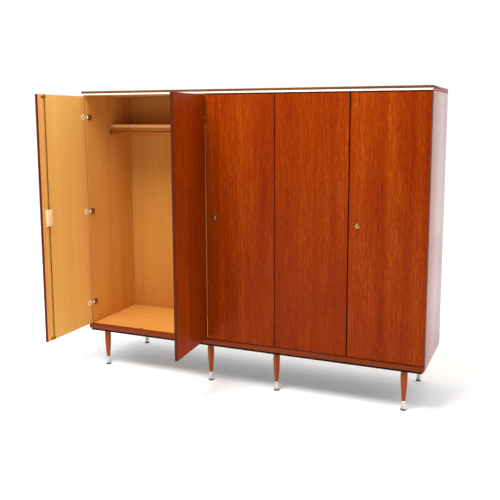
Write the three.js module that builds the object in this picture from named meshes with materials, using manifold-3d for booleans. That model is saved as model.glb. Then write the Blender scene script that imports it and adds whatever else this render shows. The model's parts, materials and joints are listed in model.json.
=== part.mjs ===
// Five-door wardrobe on turned legs: a low, wide veneered carcass with three compartments.
// Units are millimetres. While it is being built, x runs along the front from the left side,
// y runs from the front of the doors to the back, and z is the height above the floor.
// At the end the whole model is moved so that its origin is the bottom centre of its own box.
import * as THREE from 'three';
import { mergeVertices } from 'three/addons/utils/BufferGeometryUtils.js';
import Module from 'manifold-3d';

const wasm = await Module();
wasm.setup();

// Driving dimensions.
const WIDTH = 2250;
const DEPTH = 560;
const HEIGHT = 1832;
const DOOR_COUNT = 5;
const DOOR_MODULE = WIDTH / DOOR_COUNT;
const BOARD = 22;               // sides and dividers
const DOOR_THICKNESS = 18;
const FIT = 0.3;                // air between pieces that touch
const LEG_HEIGHT = 238;
const BAND_HEIGHT = 12;
const RAIL_HEIGHT = 33;
const TOP_THICKNESS = 25;
const STRIP_HEIGHT = 11;        // pale strip under the front edge of the top
const STRIP_DEPTH = 5;
const STRIP_SETBACK = 1;
const DOOR_GAP_BELOW = 3;
const DOOR_GAP_ABOVE = 7;
const MEETING_GAP = 5;          // between the two leaves of a pair
const HINGE_GAP = 1.5;          // from a hinge edge to the middle of its upright
const SINGLE_GAP = 1.5;         // from the free edge of the single door to its upright
const DOOR_1_OPEN = 90;         // degrees, as stored
const DOOR_2_OPEN = 95;

// Heights that follow from them.
const BAND_BOTTOM = LEG_HEIGHT;
const RAIL_BOTTOM = BAND_BOTTOM + BAND_HEIGHT;
const RAIL_TOP = RAIL_BOTTOM + RAIL_HEIGHT;
const FLOOR_TOP = RAIL_TOP + 2;
const TOP_UNDERSIDE = HEIGHT - TOP_THICKNESS;
const DOOR_BOTTOM = RAIL_TOP + DOOR_GAP_BELOW;
const DOOR_TOP = TOP_UNDERSIDE - DOOR_GAP_ABOVE;

// Depths.
const CARCASS_FRONT = 20;       // front edge of sides, dividers and floor, behind the doors
const BACK_FRONT = 526;         // front face of the back panels
const BACK_THICKNESS = 8;

// Uprights: the middle of each divider is a door joint.
const LEFT_DIVIDER_X = 2 * DOOR_MODULE;
const RIGHT_DIVIDER_X = 3 * DOOR_MODULE;

// Hinges: each door turns about a vertical line at the front corner of its hinge edge.
const PIVOT_INSET = 4;
const HINGE_HEIGHTS = { bottom: DOOR_BOTTOM + 143, middle: 1047, top: DOOR_TOP - 134 };
const CUP_RADIUS = 17.5;
const CUP_DEPTH = 11;
const CUP_EDGE_DISTANCE = 21;

// Locks: a case on the inner face works one rod up and one rod down.
const LOCK_INSET = 50;
const LOCK_HEIGHT = 1056;
const CASE_WIDTH = 48;
const CASE_HEIGHT = 105;
const CASE_DEPTH = 16;
const ROD_RADIUS = 3.5;
const ROD_STROKE = 14;
const ROD_Y = DOOR_THICKNESS + FIT + CASE_DEPTH / 2;
const ROD_END_OFFSET = 14;      // from the lock's centre to the end of a rod inside the case
const ROD_END_GAP = 5;          // between a drawn-back rod and the board it locks into
const KEEPER_RADIUS = 4.5;
const KEEPER_DEPTH = ROD_STROKE - ROD_END_GAP + 3;
const SPINDLE_RADIUS = 4.8;
const SPINDLE_END = DOOR_THICKNESS + CASE_DEPTH - 2;

// Clothes rails, shelves and legs.
const SHELF_THICKNESS = 20;
const HAT_SHELF_FRONT = 290;
const HAT_SHELF_BOTTOM = 1598;
const LINEN_SHELF_FRONT = 42;
const LINEN_SHELF_COUNT = 3;
const CLOTHES_RAIL = { radius: 12.5, y: 283, z: 1563 };
const SOCKET_RADIUS = 17;
const SOCKET_LENGTH = 13;
const LEG_INSET = 118;
const FRONT_LEG_Y = 40;
const REAR_LEG_Y = 528;
const FERRULE_HEIGHT = 57;
const ROUND_STEPS = 20;

const materials = {
  teak: new THREE.MeshStandardMaterial({ color: 0xa0491b, roughness: 0.4, metalness: 0 }),
  honey: new THREE.MeshStandardMaterial({ color: 0xdca45c, roughness: 0.5, metalness: 0 }),
  pale: new THREE.MeshStandardMaterial({ color: 0xf4ead8, roughness: 0.4, metalness: 0 }),
  black: new THREE.MeshStandardMaterial({ color: 0x14100e, roughness: 0.5, metalness: 0 }),
  nickel: new THREE.MeshStandardMaterial({ color: 0xc9c4b8, roughness: 0.3, metalness: 1 }),
  bronze: new THREE.MeshStandardMaterial({ color: 0x5a4025, roughness: 0.4, metalness: 1 }),
  brass: new THREE.MeshStandardMaterial({ color: 0xb08a45, roughness: 0.3, metalness: 1 }),
  ivory: new THREE.MeshStandardMaterial({ color: 0xe9dcc0, roughness: 0.45, metalness: 0 }),
};

const wardrobe = new THREE.Group();

function addPiece(parent, name, geometry, material) {
  const piece = new THREE.Mesh(geometry, material);
  piece.name = name;
  parent.add(piece);
  return piece;
}

// A board between two opposite corners.
function board(low, high) {
  const size = high.map((value, axis) => value - low[axis]);
  const geometry = new THREE.BoxGeometry(...size);
  return geometry.translate(...low.map((value, axis) => value + size[axis] / 2));
}

// A turned shape: [radius, height] points about the z axis at (x, y).
function turnedUpright(points, x, y) {
  const outline = points.map(([radius, height]) => new THREE.Vector2(radius, height));
  return new THREE.LatheGeometry(outline, ROUND_STEPS).rotateX(Math.PI / 2).translate(x, y, 0);
}

// A turned shape: [radius, depth] points about a line along y at (x, z).
function turnedThrough(points, x, z) {
  const outline = points.map(([radius, depth]) => new THREE.Vector2(radius, depth));
  return new THREE.LatheGeometry(outline, ROUND_STEPS).translate(x, 0, z);
}

// A turned shape: [radius, distance] points about a line along x at (y, z).
function turnedSideways(points, y, z) {
  const outline = points.map(([radius, distance]) => new THREE.Vector2(radius, distance));
  return new THREE.LatheGeometry(outline, ROUND_STEPS).rotateZ(-Math.PI / 2).translate(0, y, z);
}

function rod(radius, from, to) {
  return [[0, from], [radius, from], [radius, to], [0, to]];
}

function solidOf(geometry) {
  const bare = geometry.clone();
  bare.deleteAttribute('normal');
  bare.deleteAttribute('uv');
  const merged = mergeVertices(bare);
  return new wasm.Manifold(new wasm.Mesh({
    numProp: 3,
    vertProperties: new Float32Array(merged.attributes.position.array),
    triVerts: new Uint32Array(merged.index.array),
  }));
}

// The geometry with every tool's shape cut away.
function cutAway(geometry, tools) {
  let solid = solidOf(geometry);
  for (const tool of tools) {
    solid = solid.subtract(solidOf(tool));
  }
  const mesh = solid.getMesh();
  const result = new THREE.BufferGeometry();
  result.setAttribute('position', new THREE.BufferAttribute(mesh.vertProperties, 3));
  result.setIndex(new THREE.BufferAttribute(mesh.triVerts, 1));
  result.computeVertexNormals();
  return result;
}

// The doors: where each one lies when shut, and which of its edges carries the hinges.
const doors = [
  { number: 1, hinge: 'left', lock: 'knob', open: DOOR_1_OPEN, gaps: [HINGE_GAP, MEETING_GAP / 2] },
  { number: 2, hinge: 'right', lock: null, open: DOOR_2_OPEN, gaps: [MEETING_GAP / 2, HINGE_GAP] },
  { number: 3, hinge: 'right', lock: 'key', open: 0, gaps: [SINGLE_GAP, HINGE_GAP] },
  { number: 4, hinge: 'left', lock: null, open: 0, gaps: [HINGE_GAP, MEETING_GAP / 2] },
  { number: 5, hinge: 'right', lock: 'knob', open: 0, gaps: [MEETING_GAP / 2, HINGE_GAP] },
];
for (const door of doors) {
  door.left = (door.number - 1) * DOOR_MODULE + door.gaps[0];
  door.right = door.number * DOOR_MODULE - door.gaps[1];
  const hingedLeft = door.hinge === 'left';
  door.pivotX = hingedLeft
    ? (door.number - 1) * DOOR_MODULE + PIVOT_INSET
    : door.number * DOOR_MODULE - PIVOT_INSET;
  door.lockX = hingedLeft ? door.right - LOCK_INSET : door.left + LOCK_INSET;
}
const lockedDoors = doors.filter((door) => door.lock);

// Top: one board with a rebate under its front edge, where a pale strip is let in.
function buildTop() {
  const stripBottom = TOP_UNDERSIDE;
  const stripTop = stripBottom + STRIP_HEIGHT;
  const rebateDepth = STRIP_SETBACK + STRIP_DEPTH + FIT;
  const tools = [board([-1, -1, stripBottom - 1], [WIDTH + 1, rebateDepth, stripTop + FIT])];
  for (const door of lockedDoors) {
    const hole = rod(KEEPER_RADIUS, TOP_UNDERSIDE - 1, TOP_UNDERSIDE + KEEPER_DEPTH);
    tools.push(turnedUpright(hole, door.lockX, ROD_Y));
  }
  const slab = board([0, 0, TOP_UNDERSIDE], [WIDTH, DEPTH, HEIGHT]);
  addPiece(wardrobe, 'top_board', cutAway(slab, tools), materials.teak);
  const strip = board(
    [0, STRIP_SETBACK, stripBottom], [WIDTH, STRIP_SETBACK + STRIP_DEPTH, stripTop]);
  addPiece(wardrobe, 'top_front_strip', strip, materials.pale);
}

// Sides and dividers stand behind the doors. The sides reach down past the floor board.
function buildUprights() {
  const sideLow = RAIL_BOTTOM;
  const sideHigh = TOP_UNDERSIDE - FIT;
  const sides = { left_side_panel: 0, right_side_panel: WIDTH - BOARD };
  for (const [name, x] of Object.entries(sides)) {
    const panel = board([x, CARCASS_FRONT, sideLow], [x + BOARD, DEPTH, sideHigh]);
    addPiece(wardrobe, name, panel, materials.teak);
  }
  const dividers = { left_divider: LEFT_DIVIDER_X, right_divider: RIGHT_DIVIDER_X };
  for (const [name, middle] of Object.entries(dividers)) {
    const panel = board(
      [middle - BOARD / 2, CARCASS_FRONT + FIT, FLOOR_TOP + FIT],
      [middle + BOARD / 2, BACK_FRONT - FIT, sideHigh]);
    addPiece(wardrobe, name, panel, materials.honey);
  }
}

// Floor board, the rounded rail along its front, and the black band that the legs hang from.
function buildBase() {
  const tools = lockedDoors.map((door) => {
    const hole = rod(KEEPER_RADIUS, FLOOR_TOP - KEEPER_DEPTH, FLOOR_TOP + 1);
    return turnedUpright(hole, door.lockX, ROD_Y);
  });
  const floor = board(
    [BOARD + FIT, CARCASS_FRONT, RAIL_BOTTOM], [WIDTH - BOARD - FIT, DEPTH, FLOOR_TOP]);
  addPiece(wardrobe, 'bottom_board', cutAway(floor, tools), materials.honey);

  const railDepth = CARCASS_FRONT - FIT;
  const topRound = 9;
  const lowRound = 5;
  const section = new THREE.Shape();
  section.moveTo(railDepth, 0);
  section.lineTo(railDepth, RAIL_HEIGHT);
  section.lineTo(topRound, RAIL_HEIGHT);
  section.absarc(topRound, RAIL_HEIGHT - topRound, topRound, Math.PI / 2, Math.PI, false);
  section.lineTo(0, lowRound);
  section.absarc(lowRound, lowRound, lowRound, Math.PI, Math.PI * 1.5, false);
  section.lineTo(railDepth, 0);
  const options = { depth: WIDTH, steps: 1, bevelEnabled: false, curveSegments: 5 };
  const rail = new THREE.ExtrudeGeometry(section, options);
  const alongFront = new THREE.Matrix4().makeBasis(
    new THREE.Vector3(0, 1, 0), new THREE.Vector3(0, 0, 1), new THREE.Vector3(1, 0, 0));
  rail.applyMatrix4(alongFront).translate(0, 0, RAIL_BOTTOM);
  addPiece(wardrobe, 'bottom_front_rail', rail, materials.teak);

  const setback = { front: 5, ends: 12, back: 20 };
  const band = board(
    [setback.ends, setback.front, BAND_BOTTOM],
    [WIDTH - setback.ends, DEPTH - setback.back, RAIL_BOTTOM - FIT]);
  addPiece(wardrobe, 'base_band', band, materials.black);
}

// Three thin back panels meet behind the dividers.
function buildBack() {
  const joints = {
    back_panel_left: [BOARD + FIT, LEFT_DIVIDER_X - FIT / 2],
    back_panel_centre: [LEFT_DIVIDER_X + FIT / 2, RIGHT_DIVIDER_X - FIT / 2],
    back_panel_right: [RIGHT_DIVIDER_X + FIT / 2, WIDTH - BOARD - FIT],
  };
  for (const [name, [from, to]] of Object.entries(joints)) {
    const panel = board(
      [from, BACK_FRONT, FLOOR_TOP + FIT],
      [to, BACK_FRONT + BACK_THICKNESS, TOP_UNDERSIDE - FIT]);
    addPiece(wardrobe, name, panel, materials.honey);
  }
}

// Hat shelves and clothes rails in the two wide compartments, linen shelves in the narrow one.
function buildInterior() {
  const half = BOARD / 2;
  const left = [BOARD, LEFT_DIVIDER_X - half];
  const centre = [LEFT_DIVIDER_X + half, RIGHT_DIVIDER_X - half];
  const right = [RIGHT_DIVIDER_X + half, WIDTH - BOARD];
  const { radius, y, z } = CLOTHES_RAIL;

  for (const [side, [from, to]] of Object.entries({ left, right })) {
    const shelf = board(
      [from + FIT, HAT_SHELF_FRONT, HAT_SHELF_BOTTOM],
      [to - FIT, BACK_FRONT - FIT, HAT_SHELF_BOTTOM + SHELF_THICKNESS]);
    addPiece(wardrobe, `hat_shelf_${side}`, shelf, materials.honey);
    const endGap = 3;
    const bar = turnedSideways(rod(radius, from + endGap, to - endGap), y, z);
    addPiece(wardrobe, `clothes_rail_${side}`, bar, materials.bronze);
  }

  // A socket is a cup with a flange, its flat bottom against the upright.
  const bottom = 2.5;
  const cup = [
    [0, FIT], [SOCKET_RADIUS, FIT], [SOCKET_RADIUS, FIT + 3], [SOCKET_RADIUS - 1.5, SOCKET_LENGTH],
    [radius + FIT, SOCKET_LENGTH], [radius + FIT, bottom], [0, bottom],
  ];
  const outer = turnedSideways(cup, y, z).translate(left[0], 0, 0);
  addPiece(wardrobe, 'rail_socket_side', outer, materials.bronze);
  const inner = turnedSideways(cup, y, z).rotateZ(Math.PI).translate(left[1], 2 * y, 0);
  addPiece(wardrobe, 'rail_socket_divider', inner, materials.bronze);

  const spacing = (TOP_UNDERSIDE - FLOOR_TOP) / (LINEN_SHELF_COUNT + 1);
  for (let number = 1; number <= LINEN_SHELF_COUNT; number += 1) {
    const underside = FLOOR_TOP + number * spacing - SHELF_THICKNESS / 2;
    const shelf = board(
      [centre[0] + FIT, LINEN_SHELF_FRONT, underside],
      [centre[1] - FIT, BACK_FRONT - FIT, underside + SHELF_THICKNESS]);
    addPiece(wardrobe, `linen_shelf_${number}`, shelf, materials.honey);
  }
}

// Turned legs: four under the front uprights and two at the back corners.
function buildLegs() {
  const tipBottom = 20;
  const legOutline = [
    [0, tipBottom], [8, tipBottom], [8, FERRULE_HEIGHT + FIT], [11.2, FERRULE_HEIGHT + FIT],
    [13.2, 85], [16.2, 120], [18.9, 155], [20.5, 190], [20.2, 212], [18, 230],
    [17, LEG_HEIGHT - FIT], [0, LEG_HEIGHT - FIT],
  ];
  const ferruleOutline = [
    [0, 0], [16.5, 0], [18, 2], [18, 5], [15.2, 11], [13.4, 22], [12.5, 38],
    [12.3, FERRULE_HEIGHT], [8 + FIT, FERRULE_HEIGHT], [8 + FIT, tipBottom - FIT],
    [0, tipBottom - FIT],
  ];
  const places = {
    front_1: [LEG_INSET, FRONT_LEG_Y],
    front_2: [LEFT_DIVIDER_X, FRONT_LEG_Y],
    front_3: [RIGHT_DIVIDER_X, FRONT_LEG_Y],
    front_4: [WIDTH - LEG_INSET, FRONT_LEG_Y],
    rear_1: [LEG_INSET, REAR_LEG_Y],
    rear_2: [WIDTH - LEG_INSET, REAR_LEG_Y],
  };
  for (const [place, [x, y]] of Object.entries(places)) {
    addPiece(wardrobe, `leg_${place}`, turnedUpright(legOutline, x, y), materials.teak);
    addPiece(wardrobe, `ferrule_${place}`, turnedUpright(ferruleOutline, x, y), materials.nickel);
  }
}

// A door leaf in a group that turns about its pivot. Pieces in it are placed as if it were shut.
function buildDoor(door) {
  const turn = new THREE.Group();
  turn.position.x = door.pivotX;
  turn.rotation.z = THREE.MathUtils.degToRad(door.hinge === 'left' ? -door.open : door.open);
  const leaf = new THREE.Group();
  leaf.position.x = -door.pivotX;
  turn.add(leaf);
  wardrobe.add(turn);

  const slab = board([door.left, 0, DOOR_BOTTOM], [door.right, DOOR_THICKNESS, DOOR_TOP]);
  const tools = [];
  if (door.lock) {
    const hole = rod(6.6, -1, DOOR_THICKNESS + 1);
    tools.push(turnedThrough(hole, door.lockX, LOCK_HEIGHT));
  }
  if (door.number === 1) {
    tools.push(...buildHinges(door, leaf));
  }
  const panel = tools.length ? cutAway(slab, tools) : slab;
  addPiece(leaf, `door_${door.number}_panel`, panel, materials.teak);
  if (door.lock) {
    buildLock(door, leaf);
  }
}

// Cup hinges: a cup let into the door, and an arm screwed to the side panel.
// Returns the recesses for the cups.
function buildHinges(door, leaf) {
  const cupX = door.left + CUP_EDGE_DISTANCE;
  const face = DOOR_THICKNESS;
  const armLength = 44;
  const armHalfHeight = 17;
  const armThickness = 10;
  const recesses = [];
  for (const [place, z] of Object.entries(HINGE_HEIGHTS)) {
    const cup = [
      [0, face - CUP_DEPTH], [14.5, face - CUP_DEPTH], [14.5, face + FIT],
      [CUP_RADIUS, face + FIT], [CUP_RADIUS - 0.6, face + 1.3], [0, face + 1.3],
    ];
    addPiece(leaf, `hinge_cup_${place}`, turnedThrough(cup, cupX, z), materials.nickel);
    const recess = rod(14.5 + FIT, face - CUP_DEPTH - FIT, face + 1);
    recesses.push(turnedThrough(recess, cupX, z));

    const outline = new THREE.Shape();
    outline.moveTo(0, -armHalfHeight + 4);
    outline.absarc(4, -armHalfHeight + 4, 4, Math.PI, Math.PI * 1.5, false);
    outline.absarc(armLength - armHalfHeight, 0, armHalfHeight, -Math.PI / 2, Math.PI / 2, false);
    outline.absarc(4, armHalfHeight - 4, 4, Math.PI / 2, Math.PI, false);
    const options = { depth: armThickness, steps: 1, bevelEnabled: false, curveSegments: 6 };
    const arm = new THREE.ExtrudeGeometry(outline, options);
    const ontoSide = new THREE.Matrix4().makeBasis(
      new THREE.Vector3(0, 1, 0), new THREE.Vector3(0, 0, 1), new THREE.Vector3(1, 0, 0));
    arm.applyMatrix4(ontoSide).translate(BOARD + FIT, CARCASS_FRONT + 2, z);
    addPiece(wardrobe, `hinge_arm_${place}`, arm, materials.bronze);
  }
  return recesses;
}

// Lock: case, two rods, an outer rose, and the knob or key plug whose spindle turns the works.
function buildLock(door, leaf) {
  const { number, lockX } = door;
  const half = CASE_WIDTH / 2;
  const caseLow = LOCK_HEIGHT - CASE_HEIGHT / 2;
  const caseHigh = LOCK_HEIGHT + CASE_HEIGHT / 2;
  const face = DOOR_THICKNESS + FIT;
  const body = board([lockX - half, face, caseLow], [lockX + half, face + CASE_DEPTH, caseHigh]);
  const rodBore = turnedUpright(rod(ROD_RADIUS + FIT, caseLow - 1, caseHigh + 1), lockX, ROD_Y);
  const spindleBore = turnedThrough(
    rod(SPINDLE_RADIUS + FIT, face - 1, face + CASE_DEPTH + 1), lockX, LOCK_HEIGHT);
  const lockCase = cutAway(body, [rodBore, spindleBore]);
  addPiece(leaf, `lock_${number}_case`, lockCase, materials.ivory);

  const upper = rod(ROD_RADIUS, LOCK_HEIGHT + ROD_END_OFFSET, TOP_UNDERSIDE - ROD_END_GAP - FIT);
  const lower = rod(ROD_RADIUS, FLOOR_TOP + ROD_END_GAP, LOCK_HEIGHT - ROD_END_OFFSET);
  addPiece(leaf, `lock_${number}_upper_rod`, turnedUpright(upper, lockX, ROD_Y), materials.bronze);
  addPiece(leaf, `lock_${number}_lower_rod`, turnedUpright(lower, lockX, ROD_Y), materials.bronze);

  const rose = [[6.8, -2.4], [12, -2.4], [13.5, -1.4], [13.5, -FIT], [6.8, -FIT], [6.8, -2.4]];
  addPiece(leaf, `lock_${number}_rose`, turnedThrough(rose, lockX, LOCK_HEIGHT), materials.brass);

  if (door.lock === 'knob') {
    const knob = [
      [0, -24], [5, -23.6], [8.5, -22], [10, -18.5], [9, -14.5], [6, -11], [SPINDLE_RADIUS, -8],
      [SPINDLE_RADIUS, SPINDLE_END], [0, SPINDLE_END],
    ];
    addPiece(leaf, `lock_${number}_knob`, turnedThrough(knob, lockX, LOCK_HEIGHT), materials.brass);
  } else {
    const plug = [
      [0, -3.2], [5.6, -3.2], [6.2, -2.6], [6.2, 6], [SPINDLE_RADIUS, 8],
      [SPINDLE_RADIUS, SPINDLE_END], [0, SPINDLE_END],
    ];
    const slot = board([lockX - 0.9, -4, LOCK_HEIGHT - 3.6], [lockX + 0.9, 4, LOCK_HEIGHT + 3.6]);
    const keyPlug = cutAway(turnedThrough(plug, lockX, LOCK_HEIGHT), [slot]);
    addPiece(leaf, `lock_${number}_key_plug`, keyPlug, materials.brass);
  }
}

buildTop();
buildUprights();
buildBase();
buildBack();
buildInterior();
buildLegs();
for (const door of doors) {
  buildDoor(door);
}

// Bring the bottom centre of the stored model's box to the origin.
wardrobe.updateMatrixWorld(true);
const extent = new THREE.Box3().setFromObject(wardrobe, true);
wardrobe.position.x = -(extent.min.x + extent.max.x) / 2;
wardrobe.position.y = -(extent.min.y + extent.max.y) / 2;
const model = new THREE.Group();
model.add(wardrobe);

export default model;
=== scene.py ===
# %% [markdown]
# # A wide wardrobe with five doors
# The wardrobe is a low, wide veneered case on six turned legs. Two doors of the left
# compartment stand open. Its sizes, joints and resting pose come from a fixed frame, so this
# lesson never chooses where a piece goes: it reads the place from the frame, builds a finer
# piece there and gives it a finish. Everything is in metres, with the floor at height zero, the
# doors facing the low side of y, and x running from the left end to the right.

import json
import math

import bmesh
import bpy
import numpy as np
from mathutils import Matrix, Vector


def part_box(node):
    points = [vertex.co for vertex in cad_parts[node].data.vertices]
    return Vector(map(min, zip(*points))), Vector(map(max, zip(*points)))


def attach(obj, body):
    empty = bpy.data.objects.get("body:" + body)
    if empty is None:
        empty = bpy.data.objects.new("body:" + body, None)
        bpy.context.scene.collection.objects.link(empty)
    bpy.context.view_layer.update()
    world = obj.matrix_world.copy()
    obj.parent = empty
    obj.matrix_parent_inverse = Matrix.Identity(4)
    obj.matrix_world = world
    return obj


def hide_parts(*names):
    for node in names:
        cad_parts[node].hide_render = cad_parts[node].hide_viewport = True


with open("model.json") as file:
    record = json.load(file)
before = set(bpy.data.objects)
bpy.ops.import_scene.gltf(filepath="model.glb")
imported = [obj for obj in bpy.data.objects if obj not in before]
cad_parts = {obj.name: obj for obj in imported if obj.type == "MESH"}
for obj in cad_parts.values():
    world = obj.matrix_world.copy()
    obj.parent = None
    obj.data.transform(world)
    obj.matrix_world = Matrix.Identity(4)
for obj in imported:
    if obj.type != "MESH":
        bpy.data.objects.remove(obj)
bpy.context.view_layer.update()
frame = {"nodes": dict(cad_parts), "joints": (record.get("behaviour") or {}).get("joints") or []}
joints = {joint["name"]: joint for joint in frame["joints"]}
MM = 0.001

# %% [markdown]
# ## The camera
# The case is seen from its right front corner, a little above the middle. The camera's place is
# a point in the room, and two angles turn it: one about the upright line, one downwards. The
# picture's middle is shifted a little instead of tilting the camera more, which keeps the
# upright edges of the case almost parallel.

# %% Camera
CAMERA_PLACE = (1.7306, -3.8125, 1.6473)
CAMERA_TURN = -22.185
CAMERA_DIP = 7.856
CAMERA_ROLL = 0.010

lens = bpy.data.cameras.new("front_camera")
lens.sensor_width = 36.0
lens.lens = 49.79
lens.shift_x = -0.0377
lens.shift_y = -0.0687
lens.clip_end = 100.0
camera = bpy.data.objects.new("front_camera", lens)
camera.location = CAMERA_PLACE
turn = Matrix.Rotation(math.radians(-CAMERA_TURN), 4, "Z")
dip = Matrix.Rotation(math.radians(90.0 - CAMERA_DIP), 4, "X")
roll = Matrix.Rotation(math.radians(CAMERA_ROLL), 4, "Z")
camera.rotation_euler = (turn @ dip @ roll).to_euler()
bpy.context.scene.collection.objects.link(camera)
bpy.context.scene.camera = camera
print("camera looks along", tuple(round(v, 3) for v in (turn @ dip) @ Vector((0, 0, -1))))

# %% [markdown]
# ## Finishes
# A finish is a small network of nodes. Patterns such as grain are sums and products of noise,
# so the network is easier to read as arithmetic. A Signal stands for one output of a node, and
# adding or multiplying signals adds the Math node that does it. Colours pass through Mix nodes.

# %% Signals and finishes
class Signal:
    """One output of a node, on which Python's arithmetic adds Math nodes."""

    def __init__(self, network, socket):
        self.network = network
        self.socket = socket

    def math(self, operation, *values):
        return self.network.node("ShaderNodeMath", {"operation": operation},
                                 dict(enumerate(values)))

    def __add__(self, other):
        return self.math("ADD", self, other)

    def __sub__(self, other):
        return self.math("SUBTRACT", self, other)

    def __rsub__(self, other):
        return self.math("SUBTRACT", other, self)

    def __mul__(self, other):
        return self.math("MULTIPLY", self, other)

    __radd__ = __add__
    __rmul__ = __mul__

    def smaller(self, other):
        return self.math("MINIMUM", self, other)

    def larger(self, other):
        return self.math("MAXIMUM", self, other)


class Network:
    """The nodes of a material or a world."""

    def __init__(self, tree):
        self.tree = tree

    def node(self, kind, settings=None, inputs=None, output=0):
        """Adds a node: its settings first, then a value or a link for each named socket."""
        made = self.tree.nodes.new(kind)
        for name, value in (settings or {}).items():
            setattr(made, name, value)
        for socket, value in (inputs or {}).items():
            self.feed(made.inputs[socket], value)
        return Signal(self, made.outputs[output])

    def feed(self, socket, value):
        if isinstance(value, Signal):
            self.tree.links.new(value.socket, socket)
        else:
            socket.default_value = value

    def mix(self, share, first, second, blend="MIX"):
        """A colour that goes from first to second as share goes from 0 to 1."""
        return self.node("ShaderNodeMix", {"data_type": "RGBA", "blend_type": blend},
                         {0: share, 6: first, 7: second}, 2)

    def rise(self, value, low, high):
        """0 below low, 1 above high, and a smooth S between them."""
        return self.node("ShaderNodeMapRange", {"interpolation_type": "SMOOTHSTEP"},
                         {"Value": value, "From Min": low, "From Max": high})

    def noise(self, place, stretch, scale, detail=2.0, roughness=0.5, distortion=0.0):
        """Noise between 0 and 1 whose blobs are longer where stretch is smaller."""
        scaled = self.node("ShaderNodeMapping", {}, {"Vector": place, "Scale": stretch})
        return self.node("ShaderNodeTexNoise", {}, {
            "Vector": scaled, "Scale": scale, "Detail": detail,
            "Roughness": roughness, "Distortion": distortion})

    def attribute(self, name):
        return self.node("ShaderNodeAttribute", {"attribute_name": name}, output="Vector")


class Finish(Network):
    """A material under construction, with its Principled shader."""

    def __init__(self, name, **constants):
        self.material = bpy.data.materials.new(name)
        self.material.use_nodes = True
        super().__init__(self.material.node_tree)
        self.shader = self.tree.nodes["Principled BSDF"]
        for socket, value in constants.items():
            self.shader.inputs[socket.replace("_", " ")].default_value = value

    def surface(self, colour, roughness, height, depth):
        """Feeds the shader. Height is a pattern from 0 to 1, and depth is in metres."""
        bump = self.node("ShaderNodeBump", {}, {
            "Strength": 1.0, "Distance": depth, "Height": height}, "Normal")
        self.feed(self.shader.inputs["Base Color"], colour)
        self.feed(self.shader.inputs["Roughness"], roughness)
        self.feed(self.shader.inputs["Normal"], bump)
        return self.material


def tint(red, green, blue):
    """A colour as it looks on a screen, from 0 to 255, made linear: c is divided by 255, 0.055
    is added, the sum is divided by 1.055 and raised to the power 2.4."""
    linear = [((c / 255.0 + 0.055) / 1.055) ** 2.4 for c in (red, green, blue)]
    return (*linear, 1.0)


# %% [markdown]
# ## Light
# The room is white on all sides but one: in front of the doors it gives little light, so that
# their polish doesn't reflect a pale haze, though it looks white when seen directly. One soft
# box high in front makes the doors brighter at the top than at the foot, and one behind the
# right end gives that end its pale glare, because polish seen at a low angle acts as a mirror.
# A wide glow from the ceiling lights the floor evenly however far it reaches.

# %% Room and soft boxes
scene = bpy.context.scene
scene.view_settings.view_transform = "Standard"
scene.view_settings.look = "None"
ROOM_BRIGHT = 1.02
ROOM_DIM = 0.10
WHITE = (1.0, 1.0, 1.0, 1.0)
room = bpy.data.worlds.new("white_room")
room.use_nodes = True
scene.world = room
room_network = Network(room.node_tree)
direction = room_network.node("ShaderNodeTexCoord", output="Generated")
depthwise = room_network.node("ShaderNodeSeparateXYZ", {}, {0: direction}, "Y")
dim_side = room_network.rise(0.0 - depthwise, 0.15, 0.75)
seen_directly = room_network.node("ShaderNodeLightPath", output="Is Camera Ray")
shade = dim_side * (1.0 - seen_directly)
room_network.feed(room.node_tree.nodes["Background"].inputs["Strength"],
                  shade * (ROOM_DIM - ROOM_BRIGHT) + ROOM_BRIGHT)
room.node_tree.nodes["Background"].inputs["Color"].default_value = WHITE


def soft_box(name, place, aim, size, power):
    """A square lamp at one point facing another: its own minus z axis is turned along the
    difference of the two points."""
    lamp = bpy.data.lights.new(name, "AREA")
    lamp.shape = "SQUARE"
    lamp.size = size
    lamp.energy = power
    holder = bpy.data.objects.new(name, lamp)
    holder.location = place
    holder.rotation_euler = (Vector(aim) - Vector(place)).to_track_quat("-Z", "Y").to_euler()
    scene.collection.objects.link(holder)


soft_box("front_box", (-0.4, -1.9, 4.8), (0.0, 0.0, 1.0), 2.0, 218.0)
soft_box("end_box", (2.6, 6.0, 1.4), (1.2, 0.0, 0.9), 3.0, 8.0)
ceiling = bpy.data.lights.new("ceiling_glow", "SUN")
ceiling.energy = 0.45
ceiling.angle = math.radians(100.0)
scene.collection.objects.link(bpy.data.objects.new("ceiling_glow", ceiling))
print("lights:", [lamp.name for lamp in bpy.data.lights])
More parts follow.
